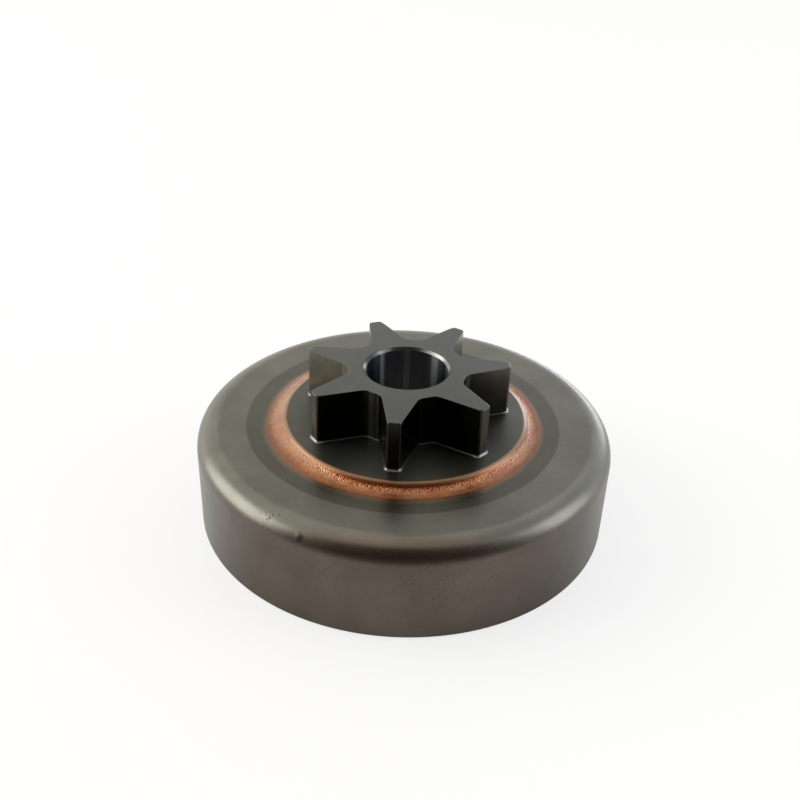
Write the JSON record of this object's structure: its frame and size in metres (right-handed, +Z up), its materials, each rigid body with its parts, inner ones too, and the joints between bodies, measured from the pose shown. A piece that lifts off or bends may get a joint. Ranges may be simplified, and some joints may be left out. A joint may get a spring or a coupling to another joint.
{
  "type": "clutch drum with spur sprocket",
  "caption": "Round deep-drawn clutch drum with a toothed spur sprocket for saw chain, a flange brazed to the drum's face and a needle bearing bore.",
  "frame": {"origin": "centre of the drum's rim plane, which the part stands on", "axes": "+Z up the bore's axis from the rim to the sprocket, +X through the middle of a tooth"},
  "size_m": [0.0776, 0.0776, 0.0295],
  "materials": {
    "drum_steel": "deep-drawn steel sheet, furnace-darkened, satin",
    "sprocket_steel": "machined and hardened steel, dark satin",
    "braze_copper": "copper braze as it set, slightly grainy"
  },
  "bodies": {
    "root": {"drum_shell": "drum_steel", "sprocket": "sprocket_steel", "braze_ring": "braze_copper"}
  },
  "joints": []
}
